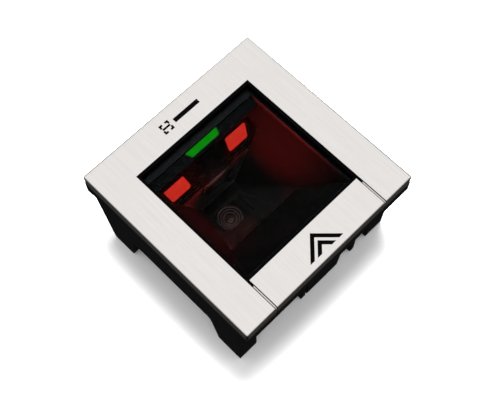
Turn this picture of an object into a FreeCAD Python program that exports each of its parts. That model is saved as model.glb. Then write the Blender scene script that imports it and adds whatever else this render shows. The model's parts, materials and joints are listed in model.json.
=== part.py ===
import FreeCAD, Part

import os
import re

import Sketcher

# Flatbed (in-counter) barcode scanner. Millimetres, +Z up.
# Origin: middle of the footprint, on the surface that the rubber feet stand on.
# -Y is the cashier's side, with the separate strip of the steel cover; +X is to its right.

SIZES = {
    # Steel cover
    "overall_height": 91,
    "cover_half": 76,
    "sheet": 1,
    "bend_radius": 1.5,
    "corner_relief": 1.6,
    "corner_slit": 0.9,
    "flange_drop": 9,
    "window_half": 51.15,
    "strip_half": 49.1,
    "etch_depth": 0.2,
    # Printed marks on the cover
    "arrow_tip": 56.1,
    "arrow_end": 71.2,
    "arrow_width": 3.9,
    "arrow_pitch": 6.7,
    "mark_centre": 63.5,
    "mark_size": 8,
    "mark_line": 1.5,
    "mark_arm": 2.9,
    "mark_bar_long": 25,
    "mark_bar_wide": 3.4,
    # Plastic carrier, seal and glass under the steel
    "carrier_thick": 3,
    "carrier_half": 74.8,
    "lip_half": 48.9,
    "seal_thick": 0.5,
    "seal_half": 54,
    "glass_thick": 3,
    "glass_half": 55,
    "glass_round": 2.5,
    "peg_place": 66,
    "peg_radius": 2,
    "peg_long": 5,
    "rib_wide": 0.9,
    "rib_inset": 4.5,
    "rib_sink": 0.35,
    "lift_gap": 0.3,
    "fit_gap": 0.2,
    # Upper housing
    "rim_half": 76,
    "rim_round": 0.8,
    "neck_half": 74.4,
    "rim_drop": 9.7,
    "lug_drop": 2,
    "lug_long": 9,
    "deck": 3,
    "glass_bay_half": 56,
    "shelf_half": 51.2,
    "shelf_thick": 2,
    "boss_x": 65,
    "boss_y": 28,
    "boss_radius": 3.5,
    "pilot_radius": 1.25,
    # Lower housing
    "wall": 2.5,
    "draft_x": 2,
    "seam_half": 75,
    "seam_front": 66,
    "seam_back": 70,
    "foot_front": 65.5,
    "foot_back": 64,
    "belly_low": 36,
    "belly_thick": 2.5,
    "sole": 0.8,
    "arch_top": 38.6,
    "arch_foot": 44.5,
    "arch_round": 5,
    "leg_inner": 57,
    "web": 3,
    "bay_from": 12,
    "slit_from": 6,
    "slit_to": 8,
    "tongue_right": 25.2,
    "tongue_slant": 4,
    "bay_b_to": 39,
    "bay_c_from": 43,
    "bay_c_to": 55.7,
    "pad_radius": 5,
    "pad_thick": 2,
    "pad_x": 65,
    "pad_front": 56,
    "pad_back": 54.5,
    "screw_radius": 1.5,
    "screw_head": 2.9,
    "screw_head_high": 2,
    "screw_long": 14,
    # Scan chamber: a funnel that narrows down to a folding mirror
    "throat_half": 48,
    "funnel_slope": 0.43,
    "funnel_wall": 2,
    "chamber_flange": 2,
    "chamber_flange_half": 54.5,
    "mirror_top_y": -17.2,
    "mirror_top_z": 48.6,
    "mirror_low_y": 23.6,
    "mirror_low_z": 10.1,
    "mirror_thick": 3,
    "mirror_edge": 1.8,
    "back_wall": 32,
    "back_top": 46,
    "band_front": 44.4,
    "camera_hatch_half": 14,
    "camera_hatch_top": 27,
    # Illuminator: two red windows in a slanted block
    "lamp_tilt": 57.2,
    "lamp_low_y": 36.6,
    "lamp_low_z": 47.2,
    "lamp_inner_low": 18.6,
    "lamp_inner_top": 20.3,
    "lamp_outer_low": 36.3,
    "lamp_outer_top": 39.8,
    "lamp_high": 12,
    "lamp_round": 2,
    "lamp_recess": 2,
    "lamp_border": 1,
    "lamp_apron": 5.7,
    "lamp_apron_top": 1.5,
    "lamp_sill": 2.7,
    "lamp_sill_slant": 3,
    "lamp_lens": 2,
    "lamp_depth": 5.5,
    "lamp_block_half": 46,
    "lamp_block_low": 43,
    "lamp_block_top": 66,
    "lamp_block_front": 30,
    "lamp_block_back": 49,
    "shroud_half": 12.5,
    "shroud_top": 52,
    "shroud_knee_y": 34,
    "shroud_knee_z": 49.5,
    "shroud_foot_y": 28.4,
    "shroud_foot_z": 35.5,
    "board_thick": 1.2,
    "led_side": 3.5,
    "led_high": 1.4,
    "led_pitch": 8.4,
    # Status bar across the back of the chamber
    "ledge_top": 80.2,
    "ledge_thick": 4.6,
    "ledge_front": 37.2,
    "ledge_back": 45.9,
    "guide_front": 39.4,
    "guide_back": 45.2,
    "guide_front_half": 12.3,
    "guide_back_half": 14.7,
    "guide_proud": 0.3,
    "guide_round": 1,
    "ledge_round": 1,
    "status_board_half": 19,
    "status_led_pitch": 7.4,
    # Camera that looks forward into the mirror
    "quarter_turn": 90,
    "camera_axis": 16,
    "camera_face": 46,
    "barrel_radius": 10,
    "barrel_long": 5,
    "ring_step": 0.7,
    "ring_land": 0.75,
    "ring_bevel": 0.25,
    "ring_deep": 1.1,
    "eye_radius": 3.4,
    "lens_thick": 1.8,
    "lens_round": 1,
    "camera_half": 14,
    "camera_body_deep": 4.4,
    "camera_low": 5,
    "camera_high": 29,
    "image_half_wide": 3.5,
    "image_half_high": 2.8,
    "flex_wide": 8,
    "flex_thick": 0.3,
    "flex_lane": 44,
    # Optics tub below the belly
    "tub_half": 33,
    "tub_wall": 2,
    "tub_slant_wall": 2.8,
    "tub_low": 2.2,
    "tub_front": 22.5,
    "tub_nose": 17,
    "tub_back": 60,
    "tub_flange": 6,
    "tub_screw_radius": 1.1,
    "tub_screw_head": 2,
    "tub_screw_back": 48,
    "tub_screw_front": 16,
    # Wake-up sensor window in the front wall of the chamber
    "sensor_radius": 9,
    "sensor_across": -3,
    "sensor_drop": 11.5,
    "sensor_thick": 1.6,
    "wake_deep": 4,
    "wake_inset": 1.5,
    # Electronics
    "main_board_half": 60,
    "main_board_front": 62,
    "main_board_back": 25,
    "main_board_z": 41,
    "main_board_thick": 1.6,
    "standoff_radius": 3,
    "board_screw_radius": 1,
    "board_screw_head": 2,
    "board_screw_head_high": 1.4,
    "board_screw_inset": 5,
    "shield_left": 28,
    "shield_right": 4,
    "shield_front": 56,
    "shield_back": 32,
    "shield_thick": 3,
    "shield_round": 0.6,
    "chip_high": 1.4,
    "chip_side": 10,
    "plug_deep": 6,
    "capacitor_radius": 3,
    "capacitor_high": 7,
    "component_row": 48,
    "coil_half": 61,
    "coil_wide": 2,
    "coil_high": 4.5,
    # Sockets under the belly, behind the left front opening
    "socket_box_left": 55,
    "socket_box_right": 11,
    "socket_box_front": 44,
    "socket_box_back": 29,
    "socket_box_low": 10,
    "socket_wall": 2,
    "socket_axis": 23,
    "socket_deep": 8.5,
    "socket_shell": 0.8,
    "host_place": 46.2,
    "host_half": 5.6,
    "host_high": 8,
    "aux_place": 34.6,
    "aux_half": 4,
    "aux_high": 8,
    "power_place": 25.4,
    "power_radius": 3,
    "power_pin_radius": 1,
    "contact_inset": 2,
    "contact_thick": 1.6,
    "contact_long": 5.5,
    "button_radius": 2.6,
    "button_travel": 1,
    "button_place": 17.4,
    "button_proud": 1.4,
    "button_round": 0.5,
    "collar_radius": 3.5,
    "collar_thick": 0.8,
    "switch_deep": 4,
    "switch_half": 3.15,
    "stem_radius": 1.4,
    "stem_reach": 0.4,
    # Sounder behind the front wall
    "sounder_x": 9.8,
    "sounder_half": 13,
    "sounder_radius": 11,
    "sounder_low": 5,
    "sounder_deep": 12,
    "basket_deep": 3,
    "basket_rim": 1.5,
    "magnet_radius": 6.6,
    "magnet_deep": 5,
    "slot_half": 8.8,
    "slot_pitch": 5,
    "slot_high": 1.6,
}

# Heights and places that follow from the sizes above.
LEVELS = {
    "cover_under": "overall_height - sheet",
    "flange_low": "overall_height - flange_drop",
    "carrier_low": "cover_under - carrier_thick",
    "seal_low": "carrier_low - seal_thick",
    "glass_low": "seal_low - glass_thick",
    "deck_top": "carrier_low - lift_gap",
    "chamber_top": "glass_low - lift_gap",
    "shelf_top": "chamber_top - chamber_flange",
    "rim_top": "flange_low - lift_gap",
    "seam": "rim_top - rim_drop",
    "belly_top": "belly_low + belly_thick",
    "throat_foot": "throat_half - funnel_slope * (chamber_top - mirror_low_z)",
    "front_lean": "atan((throat_half + mirror_top_y) / (chamber_top - mirror_top_z))",
    "mirror_lean": "atan((mirror_top_z - mirror_low_z) / (mirror_low_y - mirror_top_y))",
    "guide_low": "ledge_top - ledge_thick",
    "tub_top": "belly_low",
    "socket_board": "socket_box_front - socket_wall - socket_deep",
}

doc = FreeCAD.newDocument("flatbed_scanner")


def bound(text):
    """Expression text in which each size name is a reference to its sheet cell."""
    def reference(match):
        word = match.group()
        if word in LEVELS:
            return "(" + bound(LEVELS[word]) + ")"
        return "Sizes." + word if word in SIZES else word
    return re.sub(r"[a-z_]+", reference, text)


def fill_sheet():
    sheet = doc.addObject("Spreadsheet::Sheet", "Sizes")
    for row, (name, size) in enumerate(SIZES.items(), start=1):
        sheet.set(f"A{row}", name)
        sheet.set(f"B{row}", str(size))
        sheet.setAlias(f"B{row}", name)
    doc.recompute()


# ---------------------------------------------------------------- drawing helpers

def new_part(label):
    part = doc.addObject("PartDesign::Body", label)
    part.Label = label
    part.AllowCompound = True
    return part


def plane_of(part, role):
    return next(item for item in part.Origin.OriginFeatures if item.Role == role + "_Plane")


def draw_outline(sketch, points):
    """Closed run of straight lines through points given as pairs of expressions."""
    first = sketch.GeometryCount
    count = len(points)
    pairs = [(bound(across), bound(up)) for across, up in points]
    places = [FreeCAD.Vector(float(sketch.evalExpression(across)), float(sketch.evalExpression(up)), 0)
              for across, up in pairs]
    for index in range(count):
        sketch.addGeometry(Part.LineSegment(places[index], places[(index + 1) % count]), False)
    for index in range(count):
        following = first + (index + 1) % count
        sketch.addConstraint(Sketcher.Constraint("Coincident", first + index, 2, following, 1))
    for index, (across, up) in enumerate(pairs):
        pin = sketch.addConstraint(Sketcher.Constraint("DistanceX", -1, 1, first + index, 1, places[index].x))
        sketch.setExpression(f"Constraints[{pin}]", across)
        pin = sketch.addConstraint(Sketcher.Constraint("DistanceY", -1, 1, first + index, 1, places[index].y))
        sketch.setExpression(f"Constraints[{pin}]", up)


def draw_circle(sketch, across, up, radius):
    texts = [bound(text) for text in (across, up, radius)]
    values = [float(sketch.evalExpression(text)) for text in texts]
    centre = FreeCAD.Vector(values[0], values[1], 0)
    circle = sketch.addGeometry(Part.Circle(centre, FreeCAD.Vector(0, 0, 1), values[2]), False)
    pins = [Sketcher.Constraint("DistanceX", -1, 1, circle, 3, values[0]),
            Sketcher.Constraint("DistanceY", -1, 1, circle, 3, values[1]),
            Sketcher.Constraint("Radius", circle, values[2])]
    for text, pin in zip(texts, pins):
        sketch.setExpression(f"Constraints[{sketch.addConstraint(pin)}]", text)


def new_sketch(part, role, offset, shapes):
    """Sketch parallel to one origin plane; shapes are outlines or (x, y, radius) circles."""
    sketch = part.newObject("Sketcher::SketchObject", part.Label + "_sketch")
    sketch.AttachmentSupport = [(plane_of(part, role), "")]
    sketch.MapMode = "FlatFace"
    sketch.setExpression("AttachmentOffset.Base.z", bound(offset))
    for shape in shapes:
        if isinstance(shape, tuple):
            draw_circle(sketch, *shape)
        else:
            draw_outline(sketch, shape)
    return sketch


def add(part, role, shapes, low, high):
    """Pad the shapes from low to high along the axis square to the plane."""
    along_y = role == "XZ"
    sketch = new_sketch(part, role, f"-({low})" if along_y else low, shapes)
    pad = part.newObject("PartDesign::Pad", part.Label + "_pad")
    pad.Profile = sketch
    pad.Reversed = along_y
    pad.setExpression("Length", bound(f"({high}) - ({low})"))
    finish_feature(part, pad, grows=True)
    return pad


def cut(part, role, shapes, low, high):
    """Pocket the shapes from low to high along the axis square to the plane."""
    sketch = new_sketch(part, role, f"-({low})" if role == "XZ" else high, shapes)
    pocket = part.newObject("PartDesign::Pocket", part.Label + "_pocket")
    pocket.Profile = sketch
    pocket.setExpression("Length", bound(f"({high}) - ({low})"))
    finish_feature(part, pocket, grows=False)
    return pocket


def finish_feature(part, feature, grows):
    """Recompute, and stop if the feature did nothing to the solid."""
    before = part.Shape.Volume if not part.Shape.isNull() else 0
    doc.recompute()
    change = part.Shape.Volume - before
    if (change <= 0) if grows else (change >= 0):
        raise RuntimeError(f"{feature.Label} changed the volume of {part.Label} by {change:.3f}")


def soften(part, kind, size, wanted):
    """Fillet or chamfer the edges for which wanted(edge) is true."""
    tip = part.Tip
    names = [f"Edge{index}" for index, edge in enumerate(tip.Shape.Edges, start=1) if wanted(edge)]
    feature = part.newObject("PartDesign::" + kind, part.Label + "_" + kind.lower())
    feature.Base = (tip, names)
    feature.setExpression("Radius" if kind == "Fillet" else "Size", bound(size))
    doc.recompute()
    return feature


def runs_along(edge, axis):
    """True for a straight edge parallel to axis, 0 for X, 1 for Y and 2 for Z."""
    spans = (edge.BoundBox.XLength, edge.BoundBox.YLength, edge.BoundBox.ZLength)
    return all(span < 1e-6 for index, span in enumerate(spans) if index != axis)


def value(text):
    return float(doc.Sizes.evalExpression(bound(text)))


def put(part, across="0", along="0", up="0", tilt=None):
    """Place a part that was drawn flat, tilted about X by an angle in degrees."""
    if tilt is not None:
        turn_about_x(part, value(tilt))
        part.setExpression("Placement.Rotation.Angle", bound(tilt))
    for axis, text in zip("xyz", (across, along, up)):
        part.setExpression(f"Placement.Base.{axis}", bound(text))
    doc.recompute()


def turn_about_x(part, angle):
    turn = FreeCAD.Rotation(FreeCAD.Vector(1, 0, 0), angle)
    part.Placement = FreeCAD.Placement(FreeCAD.Vector(), turn)


def rect(left, right, low, high):
    return [(left, low), (right, low), (right, high), (left, high)]


def square(half):
    return rect(f"-({half})", half, f"-({half})", half)


def middle_square(across, along, side):
    """Square of a given side about a point."""
    return rect(f"{across} - {side} / 2", f"{across} + {side} / 2",
                f"{along} - {side} / 2", f"{along} + {side} / 2")


def four(across, along, radius):
    """Circles at the four mirrored places."""
    return [(f"{side}({across})", f"{end}({along})", radius) for side in ("-", "") for end in ("-", "")]


# ---------------------------------------------------------------- steel cover and glass

def top_cover_frame():
    """U of folded sheet steel; its open side is closed by the strip, with a gap at each end."""
    part = new_part("top_cover_frame")
    add(part, "XY", [square("cover_half")], "flange_low", "overall_height")
    top = value("overall_height")
    soften(part, "Fillet", "bend_radius", lambda edge: edge.BoundBox.ZMin > top - 1e-6)
    cut(part, "XY", [square("cover_half - sheet")], "flange_low", "cover_under")
    cut(part, "XY", [rect("-window_half", "window_half", "-cover_half", "window_half")],
        "flange_low", "overall_height")
    reliefs = [rect(f"{side}cover_half - corner_relief", f"{side}cover_half + corner_relief",
                    f"{end}cover_half - corner_relief", f"{end}cover_half + corner_relief")
               for side in ("-", "") for end in ("-", "")]
    cut(part, "XY", reliefs, "flange_low", "cover_under - sheet")
    slits = [rect(f"{side}(cover_half - corner_slit)", f"{side}(cover_half + 1)",
                  f"{end}(cover_half - corner_slit)", f"{end}(cover_half + 1)")
             for side in ("-", "") for end in ("-", "")]
    cut(part, "XY", slits, "flange_low", "overall_height")
    cut_scan_mark(part)


def front_cover_strip():
    part = new_part("front_cover_strip")
    add(part, "YZ", [[("-cover_half", "flange_low"), ("sheet - cover_half", "flange_low"),
                      ("sheet - cover_half", "cover_under"), ("-window_half", "cover_under"),
                      ("-window_half", "overall_height"), ("-cover_half", "overall_height")]],
        "-strip_half", "strip_half")
    front = -value("cover_half")
    top = value("overall_height")
    soften(part, "Fillet", "bend_radius",
           lambda edge: edge.BoundBox.YMax < front + 1e-6 and edge.BoundBox.ZMin > top - 1e-6)
    cut(part, "XY", arrows(), "overall_height - etch_depth", "overall_height")


def arrows():
    """Two nested arrowheads that point at the window."""
    outlines = []
    for index in range(2):
        tip = f"arrow_tip + {index} * arrow_pitch"
        reach = f"(arrow_end - ({tip}))"
        inner = f"({reach} - arrow_width)"
        outlines.append([("0", f"-({tip})"), (f"-{reach}", "-arrow_end"), (f"-{inner}", "-arrow_end"),
                         ("0", f"-({tip}) - arrow_width"), (inner, "-arrow_end"), (reach, "-arrow_end")])
    return outlines


def scan_mark():
    """Plain pictogram on the back band: four corner brackets, a scan line and a bar beside them."""
    left = "(-mark_size - mark_bar_long) / 2"
    middle = f"({left} + mark_size / 2)"
    half = "mark_size / 2"
    shapes = [rect(f"{left} + mark_size + 2 * mark_line", f"{left} + mark_size + mark_bar_long",
                   "mark_centre - mark_bar_wide / 2", "mark_centre + mark_bar_wide / 2"),
              rect(f"{middle} - {half} + mark_line / 2", f"{middle} + {half} - mark_line / 2",
                   "mark_centre - mark_line / 2", "mark_centre + mark_line / 2")]
    for side in (-1, 1):
        for end in (-1, 1):
            corner = (f"{middle} + {side} * {half}", f"mark_centre + {end} * {half}")
            step = (f"{-side} * mark_line", f"{-end} * mark_line")
            arm = (f"{-side} * mark_arm", f"{-end} * mark_arm")
            shapes.append([corner, (f"{corner[0]} + {arm[0]}", corner[1]),
                           (f"{corner[0]} + {arm[0]}", f"{corner[1]} + {step[1]}"),
                           (f"{corner[0]} + {step[0]}", f"{corner[1]} + {step[1]}"),
                           (f"{corner[0]} + {step[0]}", f"{corner[1]} + {arm[1]}"),
                           (corner[0], f"{corner[1]} + {arm[1]}")])
    return shapes


def cut_scan_mark(part):
    cut(part, "XY", scan_mark(), "overall_height - etch_depth", "overall_height")


def printed_fill(label, shapes):
    """Black enamel that fills an etched mark flush with the steel."""
    part = new_part(label)
    add(part, "XY", shapes, "overall_height - etch_depth", "overall_height")


def gap_rib(label, side):
    """Insulating rib in the gap between the frame and the strip, down over the front flange."""
    part = new_part(label)
    centre = f"{side} * (window_half + strip_half) / 2"
    add(part, "YZ", [[("-cover_half + rib_sink", "flange_low"), ("-cover_half + sheet", "flange_low"),
                      ("-cover_half + sheet", "cover_under"), ("-window_half - rib_inset", "cover_under"),
                      ("-window_half - rib_inset", "overall_height - rib_sink"),
                      ("-cover_half + rib_sink + sheet", "overall_height - rib_sink"),
                      ("-cover_half + rib_sink", "overall_height - rib_sink - sheet")]],
        f"{centre} - rib_wide / 2", f"{centre} + rib_wide / 2")


def cover_carrier():
    """Black plastic plate bonded under the steel; its inner lip frames the glass."""
    part = new_part("cover_carrier")
    add(part, "XY", [square("carrier_half"), square("lip_half")], "carrier_low", "cover_under")
    soften(part, "Fillet", "rim_round",
           lambda edge: runs_along(edge, 2) and abs(edge.BoundBox.XMax) > value("carrier_half") - 1)
    add(part, "XY", four("peg_place", "peg_place", "peg_radius"), "carrier_low - peg_long", "carrier_low")


def window_seal():
    part = new_part("window_seal")
    add(part, "XY", [square("seal_half"), square("lip_half")], "seal_low", "carrier_low")


def scan_window():
    part = new_part("scan_window")
    add(part, "XY", [square("glass_half")], "glass_low", "seal_low")
    soften(part, "Fillet", "glass_round", lambda edge: runs_along(edge, 2))


# ---------------------------------------------------------------- plastic housings

def upper_housing():
    """Rim under the steel flange, deck, bay for the glass and a shelf for the chamber."""
    part = new_part("upper_housing")
    add(part, "XY", [square("rim_half")], "seam", "rim_top")
    add(part, "XY", [square("neck_half")], "rim_top", "deck_top")
    soften(part, "Fillet", "rim_round", lambda edge: runs_along(edge, 2))
    for side in ("-", ""):
        lug = [(f"{side}rim_half", "seam"), (f"{side}rim_half", "seam - lug_drop"),
               (f"{side}(rim_half - lug_long + lug_drop)", "seam - lug_drop"),
               (f"{side}(rim_half - lug_long)", "seam")]
        add(part, "XZ", [lug], "rim_round - rim_half", "-seam_front - lift_gap")
        add(part, "XZ", [lug], "seam_back + lift_gap", "rim_half - rim_round")
    cut(part, "XY", [rect("wall - seam_half", "seam_half - wall", "wall - seam_front", "seam_back - wall"),
                     square("glass_bay_half + wall")],
        "seam", "deck_top - deck")
    cut(part, "XY", [square("glass_bay_half + wall")], "seam", "shelf_top - shelf_thick")
    cut(part, "XY", [square("shelf_half")], "seam", "deck_top")
    cut(part, "XY", [square("glass_bay_half")], "shelf_top", "deck_top")
    cut(part, "XY", four("peg_place", "peg_place", "peg_radius + lift_gap"), "seam", "deck_top")
    add(part, "XY", four("boss_x", "boss_y", "boss_radius"), "belly_top", "deck_top - deck")
    cut(part, "XY", four("boss_x", "boss_y", "pilot_radius"), "belly_top", "belly_top + screw_long")


def lower_housing():
    """Drafted box on four hollow legs: arches in the sides, cable doorways in the front."""
    part = new_part("lower_housing")
    loft(part, "PartDesign::AdditiveLoft", "sole", "seam", "0")
    loft(part, "PartDesign::SubtractiveLoft", "belly_top", "seam", "wall")
    cut(part, "YZ", [[("-arch_foot", "0"), ("arch_foot", "0"), ("arch_top", "belly_low"),
                      ("-arch_top", "belly_low")]], "-cover_half", "cover_half")
    roof = value("belly_low")
    soften(part, "Fillet", "arch_round",
           lambda edge: runs_along(edge, 0) and abs(edge.BoundBox.ZMin - roof) < 1e-6)
    reach = "(arch_top - arch_round - 1)"
    cut(part, "XY", [rect("-leg_inner", "leg_inner", "web - foot_front", f"-{reach}"),
                     rect("-leg_inner", "leg_inner", reach, "foot_back - web")], "0", "belly_low")
    doorways = [rect("-leg_inner", "-bay_from", "0", "belly_low"),
                rect("-slit_to", "-slit_from", "0", "belly_low"),
                [("tongue_right", "0"), ("bay_b_to", "0"), ("bay_b_to", "belly_low"),
                 ("tongue_right + tongue_slant", "belly_low")],
                rect("bay_c_from", "bay_c_to", "0", "belly_low")]
    cut(part, "XZ", doorways, "-cover_half", "web - foot_front")
    legs = []
    for side in ("-", ""):
        span = (f"{side}(leg_inner + web)", f"{side}(seam_half - draft_x - web)")
        legs.append(rect(*span, "web - foot_front", "-arch_foot - web"))
        legs.append(rect(*span, "arch_foot + web", "foot_back - web"))
    cut(part, "XY", legs, "sole + pad_thick + 1", "belly_top")
    tub_mouth = rect("-tub_half", "tub_half", "-tub_front", "tub_back - tub_wall")
    cut(part, "XY", [tub_mouth], "belly_low", "belly_top")
    cut(part, "XY", four("boss_x", "boss_y", "screw_radius + fit_gap"), "belly_low", "belly_top")
    cut(part, "XY", pads(), "0", "pad_thick")
    cut(part, "XY", [rect("-socket_box_left + socket_wall", "-socket_box_right - socket_wall",
                          "-socket_box_front + socket_wall", "-socket_box_back - socket_wall")],
        "belly_low", "belly_top")
    cut(part, "XY", tub_screw_places("tub_screw_radius"), "belly_low", "belly_top")
    add(part, "XY", board_screw_places("standoff_radius"), "belly_top", "main_board_z")
    cut(part, "XY", board_screw_places("board_screw_radius"), "belly_top", "main_board_z")
    slots = [rect("sounder_x - slot_half", "sounder_x + slot_half",
                  f"sounder_low + sounder_half + {step} * slot_pitch - slot_high / 2",
                  f"sounder_low + sounder_half + {step} * slot_pitch + slot_high / 2") for step in (-1, 0, 1)]
    cut(part, "XZ", slots, "-cover_half", "web - foot_front")


def loft(part, kind, low, high, inset):
    """Loft between the foot outline and the seam outline of the lower housing, moved in by inset."""
    sections = []
    for level in (low, high):
        rise = f"(({level}) - sole) / (seam - sole)"
        half = f"seam_half - draft_x * (1 - {rise}) - {inset}"
        front = f"-(foot_front + (seam_front - foot_front) * {rise} - {inset})"
        back = f"foot_back + (seam_back - foot_back) * {rise} - {inset}"
        sections.append(new_sketch(part, "XY", level, [rect(f"-({half})", half, front, back)]))
    feature = part.newObject(kind, part.Label + "_loft")
    feature.Profile = sections[0]
    feature.Sections = sections[1:]
    finish_feature(part, feature, grows="Additive" in kind)


def pads():
    return [(f"{side}pad_x", place, "pad_radius")
            for side in ("-", "") for place in ("-pad_front", "pad_back")]


def rubber_feet():
    part = new_part("rubber_feet")
    add(part, "XY", pads(), "0", "pad_thick")


def housing_screws():
    """Four screws that go up through the belly into the long bosses."""
    part = new_part("housing_screws")
    add(part, "XY", four("boss_x", "boss_y", "screw_head"), "belly_low - screw_head_high", "belly_low")
    add(part, "XY", four("boss_x", "boss_y", "pilot_radius"), "belly_low", "belly_low + screw_long")


def optics_tub():
    """Lower cover under the belly; its slanted nose follows the mirror."""
    part = new_part("optics_tub")
    add(part, "YZ", [[("-tub_front", "tub_top"), ("tub_nose", "tub_low"), ("tub_back", "tub_low"),
                      ("tub_back", "tub_top")]], "-tub_half", "tub_half")
    inner_half = "(tub_half - tub_wall)"
    inner_front = "-tub_front + tub_slant_wall"
    inner_back = "tub_back - tub_wall"
    inner_low = "tub_low + tub_wall"
    cut(part, "YZ", [[(inner_front, "tub_top"), ("tub_nose + tub_wall", inner_low), (inner_back, inner_low),
                      (inner_back, "tub_top")]], f"-{inner_half}", inner_half)
    flange = rect("-tub_half - tub_flange", "tub_half + tub_flange", "-tub_front - tub_flange", "tub_back")
    mouth = rect(f"-{inner_half}", inner_half, inner_front, inner_back)
    add(part, "XY", [flange, mouth], "tub_top - tub_wall", "tub_top")
    cut(part, "XY", tub_screw_places("tub_screw_radius"), "tub_top - tub_wall", "tub_top")


# ---------------------------------------------------------------- scan chamber

def funnel(label, grow, back_profile):
    """Solid funnel: a side profile drawn in Y and Z, then cut to a width that narrows downwards."""
    part = new_part(label)
    profile = [(f"-throat_half - {grow} / cos(front_lean)", "chamber_top")]
    if grow != "0":
        profile.append((f"mirror_top_y - {grow} * cos(front_lean)",
                        f"mirror_top_z - {grow} * sin(front_lean)"))
    profile += [("mirror_top_y", "mirror_top_z"), ("mirror_low_y", "mirror_low_z")] + back_profile
    add(part, "YZ", [profile], "-cover_half", "cover_half")
    top = f"throat_half + {grow}"
    foot = f"throat_half + {grow} - funnel_slope * chamber_top"
    for side in ("-", ""):
        cut(part, "XZ", [[(f"{side}({top})", "chamber_top"), (f"{side}cover_half", "chamber_top"),
                          (f"{side}cover_half", "0"), (f"{side}({foot})", "0")]], "-cover_half", "cover_half")
    return part


def optical_chamber():
    """Black funnel from the glass down to the mirror, open at the back for the illuminator."""
    outer = funnel("chamber_outer", "funnel_wall",
                   [("mirror_low_y + funnel_wall", "mirror_low_z - funnel_wall"),
                    ("back_wall + funnel_wall", "mirror_low_z - funnel_wall"),
                    ("back_wall + funnel_wall", "lamp_block_low"),
                    ("back_top + funnel_wall", "lamp_block_top"),
                    ("back_top + funnel_wall", "chamber_top")])
    add(outer, "XY", [square("chamber_flange_half")], "shelf_top", "chamber_top")
    inner = funnel("chamber_inner", "0",
                   [("back_wall", "mirror_low_z"), ("back_wall", "lamp_block_low"),
                    ("back_top", "lamp_block_top"), ("back_top", "shelf_top"),
                    ("band_front", "shelf_top"), ("band_front", "chamber_top")])
    bays = new_part("chamber_bays")
    add(bays, "XY", [rect("-lamp_block_half", "lamp_block_half", "lamp_block_front", "cover_half")],
        "lamp_block_low", "lamp_block_top")
    hatch = new_part("chamber_hatch")
    add(hatch, "XZ", [rect("-camera_hatch_half", "camera_hatch_half", "mirror_low_z", "camera_hatch_top")],
        "back_wall - 1", "back_wall + funnel_wall + 1")
    sensor = sensor_disc("chamber_sensor_hole", "-funnel_wall * 2", "funnel_wall")
    cutter = doc.addObject("Part::MultiFuse", "chamber_cutter")
    cutter.Shapes = [inner, bays, hatch, sensor]
    chamber = doc.addObject("Part::Cut", "optical_chamber")
    chamber.Base = outer
    chamber.Tool = cutter
    chamber.Label = "optical_chamber"
    doc.recompute()


def sensor_disc(label, low, high, radius="sensor_radius"):
    """Disc square to the chamber's front wall, drawn flat and tilted into place."""
    part = new_part(label)
    add(part, "XY", [("0", "0", radius)], low, high)
    turn_about_x(part, value("front_lean") - 90)
    put(part, "sensor_across", "sensor_drop * tan(front_lean) - throat_half", "chamber_top - sensor_drop")
    return part


def fold_mirror():
    """Front-surface mirror: a trapezoid as wide as the funnel at each end, plus an edge that seats it."""
    part = new_part("fold_mirror")
    top_half = "throat_half - funnel_slope * (chamber_top - mirror_top_z) + mirror_edge"
    low_half = "throat_foot + mirror_edge"
    top = "-((mirror_low_y - mirror_top_y) / cos(mirror_lean) - lift_gap * 2)"
    add(part, "XY", [[(f"-({low_half})", "0"), (low_half, "0"), (top_half, top), (f"-({top_half})", top)]],
        "-mirror_thick", "0")
    turn_about_x(part, -value("mirror_lean"))
    put(part, along="mirror_low_y", up="mirror_low_z")


def tub_screw_places(radius):
    return [(f"{side}(tub_half + tub_flange / 2)", place, radius)
            for side in ("-", "") for place in ("-tub_screw_front", "tub_screw_back")]


def tub_screws():
    part = new_part("tub_screws")
    seat = "tub_top - tub_wall"
    add(part, "XY", tub_screw_places("tub_screw_head"), f"{seat} - screw_head_high", seat)
    add(part, "XY", tub_screw_places("tub_screw_radius"), seat, "belly_top")


# ---------------------------------------------------------------- illuminator and status bar

def lamp_outline(side, grow="0"):
    """Window outline that leans towards the middle as it goes down, side is -1 or 1."""
    return [(f"{side} * (lamp_inner_low - {grow})", f"-({grow})"),
            (f"{side} * (lamp_outer_low + {grow})", f"-({grow})"),
            (f"{side} * (lamp_outer_top + {grow})", f"lamp_high + {grow}"),
            (f"{side} * (lamp_inner_top - {grow})", f"lamp_high + {grow}")]


def recess_outline(side):
    """Outline of the recess round a window, with a wide apron on its lower inner side."""
    inner = "(lamp_inner_low - lamp_apron)"
    return [(f"{side} * {inner}", "lamp_apron_top"),
            (f"{side} * {inner}", "lamp_sill_slant - lamp_sill - lamp_apron_top"),
            (f"{side} * ({inner} + lamp_sill_slant)", "-lamp_sill"),
            (f"{side} * (lamp_outer_low + lamp_border)", "-lamp_sill"),
            (f"{side} * (lamp_outer_top + lamp_border)", "lamp_high + lamp_border"),
            (f"{side} * (lamp_inner_top - lamp_border)", "lamp_high + lamp_border")]


def lamp_sketch(part, height, shapes):
    """Sketch parallel to the red windows, height above their faces."""
    sketch = new_sketch(part, "XY", "0", shapes)
    turn = FreeCAD.Rotation(FreeCAD.Vector(1, 0, 0), value("lamp_tilt"))
    sketch.AttachmentOffset = FreeCAD.Placement(FreeCAD.Vector(), turn)
    sketch.setExpression("AttachmentOffset.Base.y", bound(f"lamp_low_y - ({height}) * sin(lamp_tilt)"))
    sketch.setExpression("AttachmentOffset.Base.z", bound(f"lamp_low_z + ({height}) * cos(lamp_tilt)"))
    return sketch


def lamp_pocket(part, shapes, high, low):
    pocket = part.newObject("PartDesign::Pocket", part.Label + "_pocket")
    pocket.Profile = lamp_sketch(part, high, shapes)
    pocket.setExpression("Length", bound(f"({high}) - ({low})"))
    finish_feature(part, pocket, grows=False)


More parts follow.
